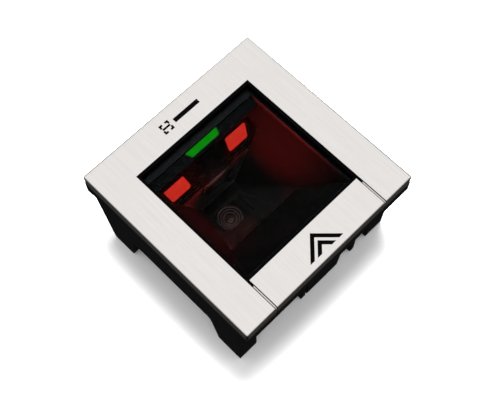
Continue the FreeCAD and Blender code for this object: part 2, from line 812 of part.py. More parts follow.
def illumination_block():
    """Slanted bar with a recess and a hole for each red window, and a shroud between the two."""
    part = new_part("illumination_block")

    def on_face(height, along="", up=""):
        """Point on the plane at this height above the windows, at a given Y or a given Z."""
        lift = f"({height}) / cos(lamp_tilt)"
        if along:
            return (along, f"lamp_low_z + ({along} - lamp_low_y) * tan(lamp_tilt) + {lift}")
        return (f"lamp_low_y + ({up} - lamp_low_z - {lift}) / tan(lamp_tilt)", up)

    front = "(back_wall + 1)"
    add(part, "YZ", [[on_face("lamp_recess", along=front), (front, "lamp_block_low"),
                      on_face("-lamp_depth", up="lamp_block_low"),
                      on_face("-lamp_depth", along="lamp_block_back"), ("lamp_block_back", "lamp_block_top"),
                      on_face("lamp_recess", up="lamp_block_top")]],
        "-lamp_block_half", "lamp_block_half")
    cheek = rect("lamp_block_front", "lamp_block_back", "lamp_block_low", "lamp_block_top")
    for side in ("-", ""):
        faces = [f"{side}lamp_block_half", f"{side}(lamp_block_half - funnel_wall)"]
        low, high = sorted(faces, key=value)
        add(part, "YZ", [cheek], low, high)
    wall_face = "back_wall - fit_gap"
    add(part, "YZ", [[on_face("lamp_recess", up="shroud_top"), ("shroud_knee_y", "shroud_knee_z"),
                      ("shroud_foot_y", "shroud_foot_z"), (wall_face, "shroud_foot_z"),
                      (wall_face, "lamp_block_low + 2 * fit_gap"), on_face("0", up="shroud_top")]],
        "-shroud_half", "shroud_half")
    lamp_pocket(part, [recess_outline(side) for side in (-1, 1)], "lamp_depth", "0")
    lamp_pocket(part, [lamp_outline(side) for side in (-1, 1)], "lamp_depth", "-lamp_depth - 1")


def illumination_window(label, side):
    part = new_part(label)
    add(part, "XY", [lamp_outline(side)], "-lamp_lens", "0")
    soften(part, "Fillet", "lamp_round", lambda edge: runs_along(edge, 2))
    put(part, along="lamp_low_y", up="lamp_low_z", tilt="lamp_tilt")


def led_board(label, side):
    part = new_part(label)
    add(part, "XY", [lamp_outline(side, "lamp_border")], "-lamp_depth - board_thick", "-lamp_depth")
    put(part, along="lamp_low_y", up="lamp_low_z", tilt="lamp_tilt")


def illumination_leds():
    """Two lamps behind each red window."""
    part = new_part("illumination_leds")
    half = "led_side / 2"
    shapes = []
    for side in (-1, 1):
        middle = f"{side} * (lamp_inner_low + lamp_outer_top) / 2"
        for step in (-1, 1):
            centre = f"({middle} + {step} * led_pitch / 2)"
            shapes.append(rect(f"{centre} - {half}", f"{centre} + {half}",
                               f"lamp_high / 2 - {half}", f"lamp_high / 2 + {half}"))
    add(part, "XY", shapes, "-lamp_depth", "led_high - lamp_depth")
    put(part, along="lamp_low_y", up="lamp_low_z", tilt="lamp_tilt")


def indicator_ledge():
    """Bar across the chamber under the glass that holds the status light guide."""
    part = new_part("indicator_ledge")
    low = "(throat_half - funnel_slope * (chamber_top - guide_low) - 0.1)"
    high = "(throat_half - funnel_slope * (chamber_top - ledge_top) - 0.1)"
    outline = [(f"-{low}", "guide_low"), (low, "guide_low"), (high, "ledge_top"), (f"-{high}", "ledge_top")]
    add(part, "XZ", [outline], "ledge_front", "ledge_back")
    front = value("ledge_front")
    soften(part, "Fillet", "ledge_round",
           lambda edge: runs_along(edge, 0) and abs(edge.BoundBox.YMin - front) < 1e-6)
    cut(part, "XY", [guide_outline()], "guide_low", "ledge_top")
    add(part, "XY", [(f"{side}(status_board_half - 3)", "(guide_front + guide_back) / 2", "board_screw_head")
                     for side in ("-", "")], "guide_low - led_high", "guide_low")


def guide_outline():
    return [("-guide_front_half", "guide_front"), ("guide_front_half", "guide_front"),
            ("guide_back_half", "guide_back"), ("-guide_back_half", "guide_back")]


def status_light_guide():
    part = new_part("status_light_guide")
    add(part, "XY", [guide_outline()], "guide_low", "ledge_top + guide_proud")
    soften(part, "Fillet", "guide_round", lambda edge: runs_along(edge, 2))


def status_led_board():
    part = new_part("status_led_board")
    add(part, "XY", [rect("-status_board_half", "status_board_half", "ledge_front + 2", "ledge_back - 1")],
        "guide_low - led_high - board_thick", "guide_low - led_high")


def status_leds():
    part = new_part("status_leds")
    half = "led_side / 2"
    middle = "(guide_front + guide_back) / 2"
    add(part, "XY", [rect(f"{step} * status_led_pitch - {half}", f"{step} * status_led_pitch + {half}",
                          f"{middle} - {half}", f"{middle} + {half}") for step in (-1, 0, 1)],
        "guide_low - led_high", "guide_low")


# ---------------------------------------------------------------- camera

def revolve(part, points):
    """Turn a half profile, given as radius and height, about the part's own Z axis."""
    sketch = new_sketch(part, "XZ", "0", [points])
    turned = part.newObject("PartDesign::Revolution", part.Label + "_turned")
    turned.Profile = sketch
    turned.ReferenceAxis = (sketch, ["V_Axis"])
    turned.Angle = 360
    finish_feature(part, turned, grows=True)


def face_forward(part, along):
    """Point a part that was drawn upright towards the mirror, on the camera's axis."""
    put(part, along=along, up="camera_axis", tilt="quarter_turn")


def lens_barrel():
    """Barrel whose front steps down to the eye in concentric rings."""
    part = new_part("lens_barrel")
    rings = 4
    pitch = f"((barrel_radius - eye_radius) / {rings})"
    points = [("eye_radius", "0"), ("barrel_radius", "0")]
    for ring in range(rings):
        crest = f"barrel_long - {ring} * ring_step"
        outer = f"barrel_radius - {ring} * {pitch}"
        points.append((outer, crest))
        points.append((f"{outer} - ring_land", crest))
        points.append((f"{outer} - ring_land - ring_bevel", f"{crest} - ring_deep"))
        points.append((f"{outer} - {pitch}", f"{crest} - ring_deep"))
    revolve(part, points)
    face_forward(part, "camera_face + barrel_long")


def camera_lens():
    part = new_part("camera_lens")
    add(part, "XY", [("0", "0", "eye_radius")], "0", "lens_thick")
    top = value("lens_thick")
    soften(part, "Fillet", "lens_round", lambda edge: edge.BoundBox.ZMin > top - 1e-6)
    face_forward(part, "camera_face + barrel_long")


def camera_housing():
    part = new_part("camera_housing")
    back = "camera_face + barrel_long + camera_body_deep"
    add(part, "XZ", [rect("-camera_half", "camera_half", "camera_low", "camera_high")],
        "camera_face + barrel_long", back)
    cut(part, "XZ", [("0", "camera_axis", "eye_radius - 2 * fit_gap")], "camera_face + barrel_long", back)
    cut(part, "XZ", [rect("-camera_half + funnel_wall", "camera_half - funnel_wall",
                          "camera_low + funnel_wall", "camera_high - funnel_wall")],
        "camera_face + barrel_long + funnel_wall", back)


def sensor_board():
    part = new_part("sensor_board")
    front = "camera_face + barrel_long + camera_body_deep"
    add(part, "XZ", [rect("-camera_half", "camera_half", "camera_low", "camera_high")],
        front, f"{front} + board_thick")


def image_sensor():
    part = new_part("image_sensor")
    back = "camera_face + barrel_long + camera_body_deep"
    add(part, "XZ", [rect("-image_half_wide", "image_half_wide",
                          "camera_axis - image_half_high", "camera_axis + image_half_high")],
        f"{back} - led_high", back)


def camera_flex():
    """Flat cable from the sensor board, up through the belly and forward to the main board."""
    part = new_part("camera_flex")
    back = "(camera_face + barrel_long + camera_body_deep + board_thick)"
    floor = "(belly_top + flex_thick)"
    left = "flex_lane - flex_wide / 2"
    right = "flex_lane + flex_wide / 2"
    rise = rect("-flex_wide / 2", "flex_wide / 2", "camera_axis", floor)
    across = rect("-flex_wide / 2", right, back, f"{back} + flex_wide / 2")
    lane = rect(left, right, "-main_board_back", back)
    add(part, "XZ", [rise], back, f"{back} + flex_thick")
    add(part, "XY", [across, lane], "belly_top", floor)
    add(part, "XZ", [rect(left, right, "belly_top", "main_board_z + main_board_thick")],
        "-main_board_back", "-main_board_back + flex_thick")


def wake_sensor():
    """Infrared emitter and receiver behind the small round window."""
    sensor_disc("wake_sensor", "-funnel_wall - wake_deep", "-funnel_wall", "sensor_radius - wake_inset")


# ---------------------------------------------------------------- electronics

def board_screw_places(radius):
    rows = ("-(main_board_front - board_screw_inset)", "-(main_board_back + board_screw_inset)")
    column = "(main_board_half - board_screw_inset)"
    return [(side + column, row, radius) for side in ("-", "") for row in rows]


def main_board():
    part = new_part("main_board")
    top = "main_board_z + main_board_thick"
    add(part, "XY", [rect("-main_board_half", "main_board_half", "-main_board_front", "-main_board_back")],
        "main_board_z", top)
    cut(part, "XY", board_screw_places("board_screw_radius"), "main_board_z", top)


def board_screws():
    part = new_part("board_screws")
    top = "main_board_z + main_board_thick"
    add(part, "XY", board_screw_places("board_screw_head"), top, f"{top} + board_screw_head_high")
    add(part, "XY", board_screw_places("board_screw_radius"), "belly_top", top)


def processor_shield():
    part = new_part("processor_shield")
    top = "main_board_z + main_board_thick"
    add(part, "XY", [rect("-shield_left", "shield_right", "-shield_front", "-shield_back")],
        top, f"{top} + shield_thick")
    soften(part, "Fillet", "shield_round", lambda edge: edge.BoundBox.ZMin > value(top) + 1e-6)


def board_components():
    """Chips, capacitors and sockets for the inner cables."""
    part = new_part("board_components")
    top = "main_board_z + main_board_thick"
    chips = [middle_square("18", "-component_row", "chip_side"),
             middle_square("-39", "-component_row", "chip_side"),
             middle_square("33", "-shield_back - chip_side / 2", "chip_side")]
    flex_plug = rect("flex_lane - flex_wide / 2", "flex_lane + flex_wide / 2",
                     "-main_board_back - plug_deep", "-main_board_back - 1")
    add(part, "XY", chips + [flex_plug], top, f"{top} + chip_high")
    add(part, "XY", [(place, "-component_row", "capacitor_radius") for place in ("32", "40", "48")],
        top, f"{top} + capacitor_high")


def eas_antenna():
    """Square coil round the glass that deactivates security tags."""
    part = new_part("eas_antenna")
    add(part, "XY", [square("coil_half"), square("coil_half - coil_wide")],
        "deck_top - deck - coil_high", "deck_top - deck")
    soften(part, "Fillet", "coil_wide / 2", lambda edge: runs_along(edge, 2))


# ---------------------------------------------------------------- sockets and volume button

def mouths(grow="0"):
    """Openings of the three sockets, seen from the front."""
    return [rect(f"-(host_place + host_half + {grow})", f"-(host_place - host_half - {grow})",
                 f"socket_axis - host_high / 2 - {grow}", f"socket_axis + host_high / 2 + {grow}"),
            rect(f"-(aux_place + aux_half + {grow})", f"-(aux_place - aux_half - {grow})",
                 f"socket_axis - aux_high / 2 - {grow}", f"socket_axis + aux_high / 2 + {grow}"),
            ("-power_place", "socket_axis", f"power_radius + {grow}")]


def socket_box():
    """Box under the belly whose front wall carries the sockets and the button."""
    part = new_part("socket_box")
    front = "socket_wall - socket_box_front"
    add(part, "XY", [rect("-socket_box_left", "-socket_box_right", "-socket_box_front", "-socket_box_back")],
        "socket_box_low", "belly_low")
    cut(part, "XY", [rect("socket_wall - socket_box_left", "-socket_box_right - socket_wall", front,
                          "-socket_box_back - socket_wall")], "socket_box_low + socket_wall", "belly_low")
    cut(part, "XZ", mouths() + [("-button_place", "socket_axis", "button_radius + fit_gap")],
        "-socket_box_front", front)


def socket(label, index):
    """Metal or plastic shell behind one mouth of the socket box, with its hollow."""
    part = new_part(label)
    front = "socket_wall - socket_box_front"
    add(part, "XZ", [mouths("socket_shell")[index]], front, "-socket_board")
    cut(part, "XZ", [mouths()[index]], front, "-socket_board - socket_shell")


def socket_contacts():
    """Contact blocks inside the two flat sockets and the pin of the power socket."""
    part = new_part("socket_contacts")
    back = "-socket_board - socket_shell"
    roof = "socket_axis + host_high / 2"
    host_reach = "(host_half - contact_inset)"
    aux_reach = "(aux_half - contact_inset)"
    host_block = rect(f"-host_place - {host_reach}", f"-host_place + {host_reach}",
                      f"{roof} - contact_thick", roof)
    aux_tongue = rect(f"-aux_place - {aux_reach}", f"-aux_place + {aux_reach}",
                      "socket_axis - contact_thick / 2", "socket_axis + contact_thick / 2")
    power_pin = ("-power_place", "socket_axis", "power_pin_radius")
    add(part, "XZ", [host_block, aux_tongue, power_pin], f"{back} - contact_long", back)


def interface_board():
    part = new_part("interface_board")
    add(part, "XZ", [rect("socket_wall + 1 - socket_box_left", "-socket_box_right - socket_wall - 1",
                          "socket_box_low + socket_wall + 1", "belly_low - 1")],
        "-socket_board", "-socket_board + board_thick")


def button_switch():
    part = new_part("button_switch")
    add(part, "XZ", [rect("-button_place - switch_half", "-button_place + switch_half",
                          "socket_axis - switch_half", "socket_axis + switch_half")],
        "-socket_board - switch_deep", "-socket_board")
    cut(part, "XZ", [("-button_place", "socket_axis", "stem_radius + fit_gap")],
        "-socket_board - switch_deep", "-socket_board - switch_deep + button_travel + stem_reach + fit_gap")


def volume_button():
    """Round cap with a collar that keeps it behind the wall and a stem that works the switch."""
    part = new_part("volume_button")
    inside = "socket_wall - socket_box_front"
    face = "-socket_box_front - button_proud"
    add(part, "XZ", [("-button_place", "socket_axis", "button_radius")], face, inside)
    front = value(face)
    soften(part, "Fillet", "button_round", lambda edge: edge.BoundBox.YMax < front + 1e-6)
    collar_back = f"{inside} + collar_thick"
    add(part, "XZ", [("-button_place", "socket_axis", "collar_radius")], inside, collar_back)
    add(part, "XZ", [("-button_place", "socket_axis", "stem_radius")], collar_back,
        "-socket_board - switch_deep + stem_reach")


# ---------------------------------------------------------------- sounder

def sounder_box():
    """Small closed chamber behind the slots of the front wall."""
    part = new_part("sounder_box")
    front = "(web - foot_front)"
    back = f"{front} + sounder_deep"
    outline = rect("sounder_x - sounder_half", "sounder_x + sounder_half", "sounder_low", "belly_low")
    add(part, "XZ", [outline], front, back)
    cut(part, "XZ", [rect("sounder_x - sounder_half + wall / 2", "sounder_x + sounder_half - wall / 2",
                          "sounder_low + wall / 2", "belly_low - wall / 2")], front, f"{back} - wall / 2")


def sounder():
    """Round driver: basket and diaphragm rim in front, magnet behind."""
    part = new_part("sounder")
    front = "(web - foot_front + 1)"
    axis = "sounder_low + sounder_half"
    basket_back = f"{front} + basket_deep"
    add(part, "XZ", [("sounder_x", axis, "sounder_radius")], front, basket_back)
    cut(part, "XZ", [("sounder_x", axis, "sounder_radius - basket_rim")], front, f"{front} + basket_rim")
    add(part, "XZ", [("sounder_x", axis, "magnet_radius")], basket_back, f"{basket_back} + magnet_deep")


# ---------------------------------------------------------------- build and write

# Bodies that only shape another part.
TOOLS = ("chamber_outer", "chamber_inner", "chamber_bays", "chamber_hatch", "chamber_sensor_hole")


def sub_parts():
    kinds = ("PartDesign::Body", "Part::Cut")
    return [item for item in doc.Objects if item.TypeId in kinds and item.Label not in TOOLS]


def check_document():
    for item in doc.Objects:
        if "Invalid" in item.State or "Error" in item.State:
            raise RuntimeError(f"{item.Label} is in state {item.State}")
    for part in sub_parts():
        if part.Shape.isNull() or not part.Shape.isValid():
            raise RuntimeError(f"{part.Label} has no valid shape")


def write_parts():
    os.makedirs("parts", exist_ok=True)
    for part in sub_parts():
        part.Shape.exportStep(f"parts/{part.Label}.step")
        box = part.Shape.BoundBox
        spans = [(box.XMin, box.XMax), (box.YMin, box.YMax), (box.ZMin, box.ZMax)]
        reach = "  ".join(f"{low:.1f}..{high:.1f}" for low, high in spans)
        print(f"{part.Label:26s} {len(part.Shape.Solids)} solid(s) {part.Shape.Volume:9.0f} mm3  {reach}")


def main():
    fill_sheet()
    top_cover_frame()
    front_cover_strip()
    printed_fill("direction_mark", arrows())
    printed_fill("scan_mark", scan_mark())
    gap_rib("gap_rib_left", -1)
    gap_rib("gap_rib_right", 1)
    cover_carrier()
    window_seal()
    scan_window()
    upper_housing()
    lower_housing()
    rubber_feet()
    housing_screws()
    optics_tub()
    tub_screws()
    optical_chamber()
    fold_mirror()
    illumination_block()
    illumination_window("illumination_window_left", -1)
    illumination_window("illumination_window_right", 1)
    led_board("led_board_left", -1)
    led_board("led_board_right", 1)
    illumination_leds()
    indicator_ledge()
    status_light_guide()
    status_led_board()
    status_leds()
    lens_barrel()
    camera_lens()
    camera_housing()
    sensor_board()
    image_sensor()
    camera_flex()
    sensor_disc("wake_sensor_window", "-sensor_thick", "0")
    wake_sensor()
    main_board()
    board_screws()
    processor_shield()
    board_components()
    eas_antenna()
    socket_box()
    for index, label in enumerate(("host_socket", "aux_socket", "power_socket")):
        socket(label, index)
    socket_contacts()
    interface_board()
    button_switch()
    volume_button()
    sounder_box()
    sounder()
    check_document()
    write_parts()


main()
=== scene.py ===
import json
import math

import bpy
from mathutils import Matrix, Vector


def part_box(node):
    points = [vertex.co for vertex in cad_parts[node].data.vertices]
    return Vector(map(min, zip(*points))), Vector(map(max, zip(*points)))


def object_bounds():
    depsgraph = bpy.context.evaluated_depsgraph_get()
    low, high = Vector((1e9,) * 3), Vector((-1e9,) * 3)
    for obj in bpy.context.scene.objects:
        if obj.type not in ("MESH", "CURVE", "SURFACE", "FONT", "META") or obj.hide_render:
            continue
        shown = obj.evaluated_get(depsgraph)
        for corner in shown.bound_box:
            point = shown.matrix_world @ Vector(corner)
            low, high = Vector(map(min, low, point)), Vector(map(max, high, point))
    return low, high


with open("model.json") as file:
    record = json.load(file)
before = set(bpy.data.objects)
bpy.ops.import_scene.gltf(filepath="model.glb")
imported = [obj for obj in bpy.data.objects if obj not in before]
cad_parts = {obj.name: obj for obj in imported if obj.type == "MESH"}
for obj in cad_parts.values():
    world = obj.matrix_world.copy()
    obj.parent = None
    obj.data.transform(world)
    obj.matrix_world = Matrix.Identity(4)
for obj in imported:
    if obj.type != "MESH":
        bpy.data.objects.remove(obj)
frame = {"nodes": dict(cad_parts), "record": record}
cad_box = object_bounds()

MM = 0.001

# Where the scan chamber's plastic changes colour: painted shade on the walls below the flange, and a greyer
# wall round the lens.
CHAMBER_FLANGE_FOOT = 80.9 * MM
CHAMBER_BACK_WALL = 31 * MM
LAMP_BLOCK_FOOT = 43 * MM
CHAMBER_COLOUR_STEP = 1 * MM

# Rings turned into the lens barrel, with painted highlights on their crests, and painted reflection rings in
# the lens. A wave texture of scale 1 has about
# WAVES_PER_UNIT rings to the metre.
BARREL_RING_PITCH_MM = 2.0
LENS_PAINTED_RING_PITCH_MM = 1.3
WAVES_PER_UNIT = 3.2

# Light-absorbing finishes reflect little even at a low angle.
LIGHT_TRAP_SPECULAR = 0.1
LIGHT_TRAP_IOR = 1.12

# Share of bare glass's reflection that the window's coating leaves.
COATED_SHARE = 0.02

# Reach and extra brightness of the light over each lamp behind a lit window.
LAMP_REACH = 5 * MM
LAMP_BRIGHTER = 0.22


# ---------------------------------------------------------------- node helpers
# In these, owner is the material or world whose nodes they are.

def new_material(name):
    """A material with a Principled shader; returns the material and its shader node."""
    material = bpy.data.materials.new(name)
    material.use_nodes = True
    shader = material.node_tree.nodes["Principled BSDF"]
    return material, shader


def add_node(owner, kind, inputs=None, **settings):
    """Add a node, set its properties, and fill or link its inputs by name or number."""
    node = owner.node_tree.nodes.new(kind)
    for name, value in settings.items():
        setattr(node, name, value)
    for key, value in (inputs or {}).items():
        if isinstance(value, bpy.types.NodeSocket):
            link(owner, value, node.inputs[key])
        else:
            node.inputs[key].default_value = value
    return node


def link(owner, source, target):
    owner.node_tree.links.new(source, target)


def place(owner):
    """Position on the part, in metres, in the part's frame."""
    return add_node(owner, "ShaderNodeTexCoord").outputs["Object"]


def split_axes(owner, vector):
    """The X, Y and Z outputs of a vector."""
    return add_node(owner, "ShaderNodeSeparateXYZ", {"Vector": vector}).outputs


def noise(owner, vector, size_mm, detail=3.0, rough=0.5):
    """Even noise whose blotches are about size_mm across."""
    inputs = {"Vector": vector, "Scale": 1 / (size_mm * MM), "Detail": detail, "Roughness": rough}
    return add_node(owner, "ShaderNodeTexNoise", inputs).outputs["Fac"]


def spread(owner, value, low, high, start=0.3, end=0.7):
    """Map a value from start..end to low..high."""
    inputs = {"Value": value, "From Min": start, "From Max": end, "To Min": low, "To Max": high}
    return add_node(owner, "ShaderNodeMapRange", inputs).outputs["Result"]


def blend(owner, factor, first, second, data_type="RGBA"):
    inputs = {"Factor": factor, "A": first, "B": second}
    return add_node(owner, "ShaderNodeMix", inputs, data_type=data_type).outputs["Result"]


def mottled(owner, pattern, dark, light):
    """Colour that drifts from dark to light with the pattern."""
    return blend(owner, spread(owner, pattern, 0, 1), rgba(dark), rgba(light))


def math_node(owner, operation, first, second=0.0):
    return add_node(owner, "ShaderNodeMath", {0: first, 1: second}, operation=operation).outputs["Value"]


def weighted(owner, first, second, first_share):
    """Weighted mean of two values."""
    return math_node(owner, "ADD", math_node(owner, "MULTIPLY", first, first_share),
                     math_node(owner, "MULTIPLY", second, 1 - first_share))


def bump(material, shader, height, depth_mm, strength=1.0):
    node = add_node(material, "ShaderNodeBump",
                    {"Height": height, "Distance": depth_mm * MM, "Strength": strength})
    link(material, node.outputs["Normal"], shader.inputs["Normal"])


def rgba(colour):
    return (*colour, 1.0)


# ---------------------------------------------------------------- steel

STEEL_DARK = (0.555, 0.534, 0.516)
STEEL_LIGHT = (0.682, 0.661, 0.640)
STEEL_CLOUD = (0.587, 0.571, 0.558)


def brushed_steel():
    """Sheet brushed along Y before folding, so the grain follows the sheet round its bends."""
    material, shader = new_material("brushed_steel")
    shader.inputs["Metallic"].default_value = 1.0
    sheet = unfolded_sheet(material)
    fine = streaks(material, sheet, wide_mm=0.12, long_mm=9)
    broad = streaks(material, sheet, wide_mm=0.9, long_mm=45)
    cloud = noise(material, sheet, size_mm=60, detail=2)
    tone = weighted(material, fine, broad, 0.5)
    grain = mottled(material, tone, STEEL_DARK, STEEL_LIGHT)
    clouded = blend(material, spread(material, cloud, 0, 0.35), grain, rgba(STEEL_CLOUD))
    link(material, clouded, shader.inputs["Base Color"])
    link(material, spread(material, tone, 0.27, 0.40), shader.inputs["Roughness"])
    bump(material, shader, fine, depth_mm=0.012, strength=0.35)
    return material


def unfolded_sheet(material):
    """Place on the flat sheet: across it first and along its grain second."""
    axes = split_axes(material, place(material))
    normal = add_node(material, "ShaderNodeNewGeometry").outputs["True Normal"]
    faces_side = math_node(material, "ABSOLUTE", split_axes(material, normal)["X"])
    across = blend(material, faces_side, axes["X"], axes["Z"], data_type="FLOAT")
    along = math_node(material, "ADD", axes["Y"], axes["Z"])
    return add_node(material, "ShaderNodeCombineXYZ", {"X": across, "Y": along}).outputs["Vector"]


def streaks(material, vector, wide_mm, long_mm):
    """Noise stretched into lines along the second axis."""
    scale = (1 / (wide_mm * MM), 1 / (long_mm * MM), 1.0)
    stretched = add_node(material, "ShaderNodeMapping", {"Vector": vector, "Scale": scale})
    inputs = {"Vector": stretched.outputs["Vector"], "Scale": 1.0, "Detail": 2.0}
    return add_node(material, "ShaderNodeTexNoise", inputs).outputs["Fac"]


# ---------------------------------------------------------------- plastics and plated metal

MOULDED_FINISHES = {
    "black_enamel": dict(dark=(0.0008, 0.0008, 0.0008), light=(0.0014, 0.0014, 0.0014),
                         roughness=(0.5, 0.7), texture_mm=0.2, depth_mm=0.01, specular=0.01),
    "rib_plastic": dict(dark=(0.17, 0.16, 0.155), light=(0.24, 0.23, 0.22),
                        roughness=(0.45, 0.6), texture_mm=0.4, specular=0.2),
    "black_plastic": dict(dark=(0.0030, 0.0030, 0.0032), light=(0.0056, 0.0056, 0.0060), specular=0.2),
    # Darker copy of the black plastic for the window's carrier: painted shade on its top-facing lip.
    "carrier_plastic_painted_shade": dict(dark=(0.0007, 0.0007, 0.0008), light=(0.0011, 0.0011, 0.0012), specular=0.02),
    # Darker copy of the black plastic for the indicator ledge: painted shade.
    "ledge_plastic_painted_shade": dict(dark=(0.0008, 0.0009, 0.0010), light=(0.0012, 0.0013, 0.0014),
                           roughness=(0.2, 0.3), texture_mm=6, depth_mm=0.01, specular=0.02),
    "seal_foam": dict(dark=(0.0008, 0.0008, 0.0008), light=(0.0015, 0.0015, 0.0015),
                      roughness=(0.8, 0.95), texture_mm=0.3, depth_mm=0.08, specular=0.03),
    "foot_rubber": dict(dark=(0.012, 0.012, 0.012), light=(0.02, 0.02, 0.02),
                        roughness=(0.75, 0.9), texture_mm=0.3, depth_mm=0.04),
    "led_body": dict(dark=(0.6, 0.58, 0.45), light=(0.75, 0.72, 0.6), roughness=(0.3, 0.45)),
    "dark_window": dict(dark=(0.0012, 0.001, 0.001), light=(0.002, 0.0015, 0.0015),
                        roughness=(0.08, 0.16), texture_mm=2, depth_mm=0.0, specular=0.02),
    "flex_film": dict(dark=(0.30, 0.12, 0.02), light=(0.42, 0.19, 0.04),
                      roughness=(0.2, 0.3), texture_mm=1.5),
    "socket_plastic": dict(dark=(0.02, 0.02, 0.022), light=(0.03, 0.03, 0.032),
                           roughness=(0.35, 0.5), texture_mm=0.4),
    "chip_black": dict(dark=(0.015, 0.015, 0.016), light=(0.025, 0.025, 0.026),
                       roughness=(0.5, 0.65), texture_mm=0.25),
    "button_grey": dict(dark=(0.10, 0.11, 0.12), light=(0.13, 0.14, 0.15),
                        roughness=(0.4, 0.55), texture_mm=0.4),
}

PLATED_FINISHES = {
    "zinc_screw": dict(dark=(0.45, 0.44, 0.42), light=(0.65, 0.64, 0.61), roughness=(0.2, 0.38)),
    "socket_metal": dict(dark=(0.5, 0.5, 0.48), light=(0.66, 0.66, 0.64), roughness=(0.25, 0.4)),
    "shield_metal": dict(dark=(0.55, 0.56, 0.56), light=(0.68, 0.69, 0.69), roughness=(0.35, 0.5)),
}

# The chamber's walls are painted dark as shade, the wall round the lens is greyer, and the flange is plain
# plastic.
CHAMBER_WALLS_PAINTED_SHADE = ((0.0008, 0.0007, 0.0007), (0.0011, 0.0009, 0.0009))
CHAMBER_LENS_WALL = ((0.0085, 0.0072, 0.0068), (0.0115, 0.0097, 0.0092))
CHAMBER_FLANGE = ((0.0031, 0.0034, 0.0038), (0.0041, 0.0044, 0.0049))


def moulded(name, dark, light, roughness=(0.42, 0.58), texture_mm=0.5, depth_mm=0.02, specular=0.5):
    """Injection-moulded plastic: spark-eroded texture, faint flow marks and duller rubbed patches."""
    material, shader = new_material(name)
    shader.inputs["Specular IOR Level"].default_value = specular
    if specular < LIGHT_TRAP_SPECULAR:
        shader.inputs["IOR"].default_value = LIGHT_TRAP_IOR
    here = place(material)
    flow = noise(material, here, size_mm=35, detail=4)
    spark = noise(material, here, size_mm=texture_mm, detail=5, rough=0.65)
    link(material, mottled(material, flow, dark, light), shader.inputs["Base Color"])
    worn = weighted(material, flow, spark, 0.6)
    link(material, spread(material, worn, *roughness), shader.inputs["Roughness"])
    bump(material, shader, spark, depth_mm, strength=0.5)
    return material


def plated(name, dark, light, roughness):
    """Bright plated metal with cloudy patches."""
    material, shader = new_material(name)
    shader.inputs["Metallic"].default_value = 1.0
    here = place(material)
    patch = noise(material, here, size_mm=3, detail=4)
    link(material, mottled(material, patch, dark, light), shader.inputs["Base Color"])
    link(material, spread(material, patch, *roughness), shader.inputs["Roughness"])
    bump(material, shader, noise(material, here, size_mm=0.4), depth_mm=0.01, strength=0.3)
    return material


def chamber_plastic():
    """Plain flange under the glass, walls below it painted darker as shade, and a greyer wall round the
    lens.
    """
    material, shader = new_material("chamber_plastic")
    shader.inputs["Specular IOR Level"].default_value = 0.03
    shader.inputs["IOR"].default_value = LIGHT_TRAP_IOR
    here = place(material)
    axes = split_axes(material, here)
    flow = noise(material, here, size_mm=30, detail=4)
    spark = noise(material, here, size_mm=0.5, detail=5, rough=0.65)
    at_back = spread(material, axes["Y"], 0, 1, CHAMBER_BACK_WALL - CHAMBER_COLOUR_STEP, CHAMBER_BACK_WALL)
    below_lamps = spread(material, axes["Z"], 1, 0, LAMP_BLOCK_FOOT - CHAMBER_COLOUR_STEP, LAMP_BLOCK_FOOT)
    at_flange = spread(material, axes["Z"], 0, 1, CHAMBER_FLANGE_FOOT, CHAMBER_FLANGE_FOOT + CHAMBER_COLOUR_STEP)
    at_lens_wall = math_node(material, "MULTIPLY", at_back, below_lamps)
    # Painted shade: the walls below the flange are coloured darker than the flange; the wall round the lens
    # is greyer.
    shaded_walls_and_lens_wall = blend(material, at_lens_wall, mottled(material, flow, *CHAMBER_WALLS_PAINTED_SHADE),
                         mottled(material, flow, *CHAMBER_LENS_WALL))
    colour = blend(material, at_flange, shaded_walls_and_lens_wall, mottled(material, flow, *CHAMBER_FLANGE))
    link(material, colour, shader.inputs["Base Color"])
    link(material, spread(material, spark, 0.5, 0.7), shader.inputs["Roughness"])
    bump(material, shader, spark, depth_mm=0.015, strength=0.5)
    return material


# ---------------------------------------------------------------- glass, mirror and lit windows

def window_glass():
    """Coated pane: almost no reflection seen straight on, a clear one at a low angle."""
    material = bpy.data.materials.new("window_glass")
    material.use_nodes = True
    nodes = material.node_tree.nodes
    nodes.remove(nodes["Principled BSDF"])
    smear = noise(material, place(material), size_mm=28, detail=4)
    fresnel = add_node(material, "ShaderNodeFresnel", {"IOR": 1.5}).outputs["Fac"]
    reflected = math_node(material, "MULTIPLY", fresnel, COATED_SHARE)
    clear = add_node(material, "ShaderNodeBsdfTransparent", {"Color": rgba((0.97, 0.985, 0.98))})
    gloss = add_node(material, "ShaderNodeBsdfGlossy", {"Roughness": spread(material, smear, 0.03, 0.10)})
    mixed = add_node(material, "ShaderNodeMixShader",
                     {"Fac": reflected, 1: clear.outputs["BSDF"], 2: gloss.outputs["BSDF"]})
    link(material, mixed.outputs["Shader"], nodes["Material Output"].inputs["Surface"])
    return material


def lit_plastic(name, colour, glow, strength, specular, lamps):
    """Translucent coloured plastic lit from behind, brighter over its lamps."""
    material, shader = new_material(name)
    here = place(material)
    grain = noise(material, here, size_mm=0.8, detail=3)
    shade = spread(material, grain, 0.9, 1.0)
    for lamp in lamps:
        away = add_node(material, "ShaderNodeVectorMath", {0: here, 1: lamp}, operation="DISTANCE")
        near = spread(material, away.outputs["Value"], LAMP_BRIGHTER, 0.0, 0.0, LAMP_REACH)
        shade = math_node(material, "ADD", shade, near)
    shader.inputs["Roughness"].default_value = 0.32
    shader.inputs["IOR"].default_value = LIGHT_TRAP_IOR
    shader.inputs["Specular IOR Level"].default_value = specular
    deeper = [part * 0.8 for part in colour]
    link(material, blend(material, grain, rgba(colour), rgba(deeper)), shader.inputs["Base Color"])
    shader.inputs["Emission Color"].default_value = rgba(glow)
    link(material, math_node(material, "MULTIPLY", shade, strength), shader.inputs["Emission Strength"])
    bump(material, shader, grain, depth_mm=0.02, strength=0.3)
    return material


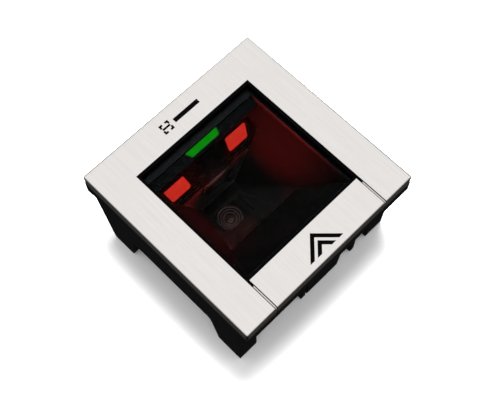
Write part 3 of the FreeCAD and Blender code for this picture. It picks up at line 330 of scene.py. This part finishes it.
def lamp_places(node, offsets):
    """Places on the top edge of a node, given as shares of its width from its middle."""
    low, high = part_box(node)
    middle = (low + high) / 2
    return [Vector((middle.x + offset * (high.x - low.x), middle.y, high.z)) for offset in offsets]


def red_window():
    lamps = lamp_places("illumination_window_left", (-0.2, 0.2))
    lamps += lamp_places("illumination_window_right", (-0.2, 0.2))
    return lit_plastic("red_window", colour=(0.012, 0.001, 0.0005), glow=(1.0, 0.042, 0.025), strength=0.50,
                       specular=0.05, lamps=lamps)


def green_guide():
    lamps = lamp_places("status_light_guide", (-0.31, 0.0, 0.31))
    return lit_plastic("green_guide", colour=(0.001, 0.02, 0.001), glow=(0.001, 1.0, 0.001), strength=0.165,
                       specular=0.01, lamps=lamps)


def front_mirror():
    """Silvered glass under a thin film of dust, which scatters a little light."""
    material, shader = new_material("front_mirror")
    dust = noise(material, place(material), size_mm=6, detail=5)
    link(material, spread(material, dust, 0.9978, 0.9962), shader.inputs["Metallic"])
    silver = mottled(material, dust, (0.60, 0.60, 0.60), (0.53, 0.52, 0.52))
    link(material, silver, shader.inputs["Base Color"])
    link(material, spread(material, dust, 0.02, 0.07), shader.inputs["Roughness"])
    return material


# ---------------------------------------------------------------- camera lens

def ring_pattern(material, pitch_mm):
    """Rings about the camera's axis, 0 in the valleys and 1 on the crests."""
    low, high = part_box("lens_barrel")
    middle = (low + high) / 2
    centred = add_node(material, "ShaderNodeMapping",
                       {"Vector": place(material), "Location": (-middle.x, 0, -middle.z)})
    inputs = {"Vector": centred.outputs["Vector"], "Scale": 1 / (pitch_mm * MM) / WAVES_PER_UNIT,
              "Distortion": 0.0}
    return add_node(material, "ShaderNodeTexWave", inputs,
                    wave_type="RINGS", rings_direction="Y").outputs["Fac"]


def coated_lens():
    """Front glass with bright rings painted in its colour as reflections of the lens groups behind it."""
    material, shader = new_material("lens_glass")
    painted_highlight_rings = spread(material, ring_pattern(material, LENS_PAINTED_RING_PITCH_MM), 0, 1, 0.6, 0.95)
    # Painted reflection: bright warm rings in the glass's colour stand for the lens groups glinting behind
    # it.
    colour = blend(material, painted_highlight_rings, rgba((0.006, 0.004, 0.004)), rgba((0.20, 0.14, 0.13)))
    link(material, colour, shader.inputs["Base Color"])
    shader.inputs["Coat Weight"].default_value = 0.6
    shader.inputs["Coat Roughness"].default_value = 0.04
    smear = noise(material, place(material), size_mm=2)
    link(material, spread(material, smear, 0.05, 0.12), shader.inputs["Roughness"])
    return material


def lens_rings():
    """Barrel front with turned rings about the camera's axis; their crests are painted bright as highlights.
    """
    material, shader = new_material("lens_black")
    rings = ring_pattern(material, BARREL_RING_PITCH_MM)
    highlight_patches = noise(material, place(material), size_mm=3, detail=4)
    painted_highlight_rings = math_node(material, "MULTIPLY", spread(material, rings, 0, 1, 0.6, 0.98),
                      spread(material, highlight_patches, 0.6, 1.0))
    # Painted highlight: the ring crests are coloured bright where they would catch light, unevenly along the
    # rings.
    colour = blend(material, painted_highlight_rings, rgba((0.004, 0.0035, 0.0035)), rgba((0.30, 0.24, 0.23)))
    link(material, colour, shader.inputs["Base Color"])
    shader.inputs["Roughness"].default_value = 0.4
    bump(material, shader, rings, depth_mm=0.1, strength=0.8)
    return material


# ---------------------------------------------------------------- electronics

def circuit_board():
    """Green solder mask with paler tracks showing through it."""
    material, shader = new_material("circuit_board")
    here = place(material)
    inputs = {"Vector": here, "Scale": 1 / (9 * MM), "Mortar Size": 0.03, "Color1": rgba((0, 0, 0)),
              "Color2": rgba((0.2, 0.2, 0.2)), "Mortar": rgba((1, 1, 1))}
    tracks = add_node(material, "ShaderNodeTexBrick", inputs).outputs["Color"]
    colour = blend(material, tracks, rgba((0.008, 0.07, 0.03)), rgba((0.03, 0.19, 0.09)))
    link(material, colour, shader.inputs["Base Color"])
    link(material, spread(material, noise(material, here, size_mm=4), 0.25, 0.4), shader.inputs["Roughness"])
    bump(material, shader, tracks, depth_mm=0.03, strength=0.6)
    return material


def copper_coil():
    """Turns of lacquered wire wound flat round the glass."""
    material, shader = new_material("copper_coil")
    shader.inputs["Metallic"].default_value = 1.0
    shader.inputs["Roughness"].default_value = 0.3
    turns = add_node(material, "ShaderNodeTexWave", {"Vector": place(material), "Scale": 1 / (2 * MM)},
                     bands_direction="Z").outputs["Fac"]
    colour = blend(material, turns, rgba((0.35, 0.12, 0.05)), rgba((0.80, 0.36, 0.18)))
    link(material, colour, shader.inputs["Base Color"])
    bump(material, shader, turns, depth_mm=0.15)
    return material


# ---------------------------------------------------------------- dressing the parts

# Nodes coloured darker than the rest of their slot, as painted shade.
PAINTED_SHADE_FINISH = {"cover_carrier": "carrier_plastic_painted_shade", "indicator_ledge": "ledge_plastic_painted_shade"}

EDGE_ROUNDS_MM = {
    "lens_barrel": 0.12, "top_cover_frame": 0.12, "front_cover_strip": 0.12, "fold_mirror": 0.2,
    "indicator_ledge": 0.3, "scan_window": 0.3, "status_light_guide": 0.3,
    "cover_carrier": 0.35, "optical_chamber": 0.35,
    "socket_box": 0.4, "camera_housing": 0.4, "sounder_box": 0.4,
    "upper_housing": 0.5, "lower_housing": 0.5, "optics_tub": 0.5, "illumination_block": 0.5,
    "rubber_feet": 0.5, "illumination_window_left": 0.5, "illumination_window_right": 0.5,
}
ROUND_STEPS = 3
SHARP_ANGLE = math.radians(35)


def all_materials():
    materials = {name: moulded(name, **finish) for name, finish in MOULDED_FINISHES.items()}
    for name, finish in PLATED_FINISHES.items():
        materials[name] = plated(name, **finish)
    materials["brushed_steel"] = brushed_steel()
    materials["chamber_plastic"] = chamber_plastic()
    materials["window_glass"] = window_glass()
    materials["red_window"] = red_window()
    materials["green_guide"] = green_guide()
    materials["front_mirror"] = front_mirror()
    materials["lens_glass"] = coated_lens()
    materials["lens_black"] = lens_rings()
    materials["circuit_board"] = circuit_board()
    materials["copper_coil"] = copper_coil()
    return materials


def dress_cad_nodes(materials):
    for entry in frame["record"]["subparts"]:
        piece = frame["nodes"][entry["node"]]
        piece.data.materials.clear()
        piece.data.materials.append(materials[PAINTED_SHADE_FINISH.get(entry["node"], entry["material_slot"])])


def soften_edges():
    """Small round on the moulded, ground and folded edges."""
    for name, size in EDGE_ROUNDS_MM.items():
        rounding = frame["nodes"][name].modifiers.new("edge_round", "BEVEL")
        rounding.width = size * MM
        rounding.segments = ROUND_STEPS
        rounding.limit_method = "ANGLE"
        rounding.angle_limit = SHARP_ANGLE
        rounding.harden_normals = True


# ---------------------------------------------------------------- floor and light

FLOOR_HALF = 4.0

# Brightness of the studio dome by the height of the direction, 0 at the horizon and 1 overhead.
SKY_HEIGHTS = ((0.0, 0.03), (0.02, 0.12), (0.5, 0.35), (0.72, 1.35))

# Soft strip of light low behind the part: its direction, and the cosine at which it has faded out.
STRIP_TOWARDS = (0.703, 0.703, 0.1)
STRIP_EDGE = 0.82
STRIP_LEVEL = 1.5

KEY_AZIMUTH = math.radians(125)
KEY_ELEVATION = math.radians(81.1)
KEY_DISTANCE = 1.5
KEY_AIM = Vector((0, 0, 0.05))
KEY_SIZE = 0.42
KEY_WATTS = 40

RED_LIGHT = (1.0, 0.03, 0.02)
PALE_RED_LIGHT = (1.0, 0.42, 0.38)
GLINT_LIGHT = (1.0, 0.55, 0.45)

# Each light: where it is and what it aims at in mm, its cone in degrees, its watts and its colour.
CHAMBER_LIGHTS = {
    "red_right": ((-34, 8, 64), (46, 12, 78), 72, 8.8, RED_LIGHT),
    "red_left": ((30, 4, 60), (-44, 12, 60), 84, 2.7, RED_LIGHT),
    "red_on_block": ((-15, 18, 66), (-19, 39, 56), 30, 0.2, RED_LIGHT),
    "red_apron_left": ((-12, 14, 58), (-15, 34, 46), 36, 0.25, RED_LIGHT),
    "red_apron_right": ((12, 12, 56), (20, 34, 47), 40, 0.3, RED_LIGHT),
    "shroud_glow": ((0, -10, 44), (0, 31, 42), 30, 0.7, PALE_RED_LIGHT),
    "lens_glint": ((0, 14, 28), (0, 46, 16), 42, 0.018, GLINT_LIGHT),
}
CHAMBER_LIGHT_RADIUS = 4 * MM

# The black frame round the window stays dark, so the lights in the chamber leave these nodes out.
LEFT_DARK = ("cover_carrier", "top_cover_frame", "window_seal")


def towards(azimuth, elevation):
    """Unit vector; azimuth 0 is the front of the part, and positive azimuths are to its right."""
    return Vector((math.sin(azimuth) * math.cos(elevation), -math.cos(azimuth) * math.cos(elevation),
                   math.sin(elevation)))


def add_floor():
    corners = [(-FLOOR_HALF, -FLOOR_HALF, 0), (FLOOR_HALF, -FLOOR_HALF, 0),
               (FLOOR_HALF, FLOOR_HALF, 0), (-FLOOR_HALF, FLOOR_HALF, 0)]
    mesh = bpy.data.meshes.new("floor")
    mesh.from_pydata(corners, [], [(0, 1, 2, 3)])
    floor = bpy.data.objects.new("floor", mesh)
    bpy.context.scene.collection.objects.link(floor)
    material, shader = new_material("floor_paper")
    cloud = noise(material, place(material), size_mm=400)
    colour = blend(material, cloud, rgba((0.93, 0.93, 0.93)), rgba((0.95, 0.95, 0.95)))
    link(material, colour, shader.inputs["Base Color"])
    shader.inputs["Specular IOR Level"].default_value = 0.0
    shader.inputs["Roughness"].default_value = 0.9
    mesh.materials.append(material)
    floor.visible_diffuse = False
    floor.visible_glossy = False


def add_sky():
    """Studio dome that lights the part, and a white background for the camera."""
    world = bpy.data.worlds.new("studio")
    world.use_nodes = True
    background = world.node_tree.nodes["Background"]
    background.inputs["Color"].default_value = rgba((1.0, 1.0, 1.0))
    direction = add_node(world, "ShaderNodeTexCoord").outputs["Generated"]
    dome = math_node(world, "ADD", light_by_height(world, direction), strip_behind(world, direction))
    seen = add_node(world, "ShaderNodeLightPath").outputs["Is Camera Ray"]
    link(world, blend(world, seen, dome, 1.0, data_type="FLOAT"), background.inputs["Strength"])
    bpy.context.scene.world = world


def light_by_height(world, direction):
    """Bright overhead, dim towards the horizon and dark below it."""
    ramp = add_node(world, "ShaderNodeValToRGB", {"Fac": split_axes(world, direction)["Z"]})
    stops = ramp.color_ramp.elements
    stops.remove(stops[-1])
    stops[0].color = rgba([SKY_HEIGHTS[0][1]] * 3)
    for height, level in SKY_HEIGHTS[1:]:
        stops.new(height).color = rgba([level] * 3)
    return ramp.outputs["Color"]


def strip_behind(world, direction):
    near = add_node(world, "ShaderNodeVectorMath", {0: direction, 1: STRIP_TOWARDS}, operation="DOT_PRODUCT")
    return spread(world, near.outputs["Value"], 0.0, STRIP_LEVEL, STRIP_EDGE, 1.0)


def add_lamp(name, kind, spot, aim, watts):
    """A lamp of a kind, which shines from spot to aim."""
    data = bpy.data.lights.new(name, kind)
    data.energy = watts
    lamp = bpy.data.objects.new(name, data)
    lamp.location = spot
    lamp.rotation_euler = (aim - spot).to_track_quat("-Z", "Y").to_euler()
    lamp.visible_glossy = False
    bpy.context.scene.collection.objects.link(lamp)
    return lamp


def add_key_light():
    """Soft light from high behind, which throws the short shadow towards the camera."""
    spot = towards(KEY_AZIMUTH, KEY_ELEVATION) * KEY_DISTANCE
    key = add_lamp("key", "AREA", spot, KEY_AIM, KEY_WATTS)
    key.data.size = KEY_SIZE


def add_chamber_lights():
    """Red light of the two windows on the walls, the block and the shroud, and a glint on the lens."""
    unlit = unlit_group("not_lit_red", LEFT_DARK)
    for name, (spot, aim, cone, watts, colour) in CHAMBER_LIGHTS.items():
        lamp = add_lamp(name, "SPOT", Vector(spot) * MM, Vector(aim) * MM, watts)
        lamp.data.color = colour
        lamp.data.spot_size = math.radians(cone)
        lamp.data.spot_blend = 1.0
        lamp.data.shadow_soft_size = CHAMBER_LIGHT_RADIUS
        lamp.visible_camera = False
        lamp.light_linking.receiver_collection = unlit


def unlit_group(name, nodes):
    """Group of nodes that the lamps linked to it leave dark."""
    group = bpy.data.collections.new(name)
    for node in nodes:
        group.objects.link(frame["nodes"][node])
    for entry in group.collection_objects:
        entry.light_linking.link_state = "EXCLUDE"
    return group


# ---------------------------------------------------------------- camera

CAMERA_AZIMUTH = math.radians(-44.546)
CAMERA_ELEVATION = math.radians(66.757)
CAMERA_ROLL = math.radians(-0.489)
CAMERA_DISTANCE = 0.6355
CAMERA_ASIDE = 0.001757
CAMERA_DOWN = 0.015258
CAMERA_LENS_MM = 70.35
SENSOR_WIDTH_MM = 36
NEAREST_SEEN = 0.01


def add_camera(top_z):
    """Camera above the front left corner; it aims near the middle of the cover."""
    back = towards(CAMERA_AZIMUTH, CAMERA_ELEVATION)
    level = Vector((math.cos(CAMERA_AZIMUTH), math.sin(CAMERA_AZIMUTH), 0))
    steep = back.cross(level)
    right = level * math.cos(CAMERA_ROLL) + steep * math.sin(CAMERA_ROLL)
    up = steep * math.cos(CAMERA_ROLL) - level * math.sin(CAMERA_ROLL)
    spot = Vector((0, 0, top_z)) + back * CAMERA_DISTANCE + right * CAMERA_ASIDE - up * CAMERA_DOWN
    data = bpy.data.cameras.new("camera")
    data.lens = CAMERA_LENS_MM
    data.sensor_width = SENSOR_WIDTH_MM
    data.clip_start = NEAREST_SEEN
    camera = bpy.data.objects.new("camera", data)
    turn = Matrix((right, up, back)).transposed()
    camera.matrix_world = Matrix.Translation(spot) @ turn.to_4x4()
    bpy.context.scene.collection.objects.link(camera)
    bpy.context.scene.camera = camera


# ---------------------------------------------------------------- the scene

bpy.context.scene.view_settings.view_transform = "Standard"
dress_cad_nodes(all_materials())
soften_edges()
add_floor()
add_sky()
add_key_light()
add_chamber_lights()
add_camera(cad_box[1][2])
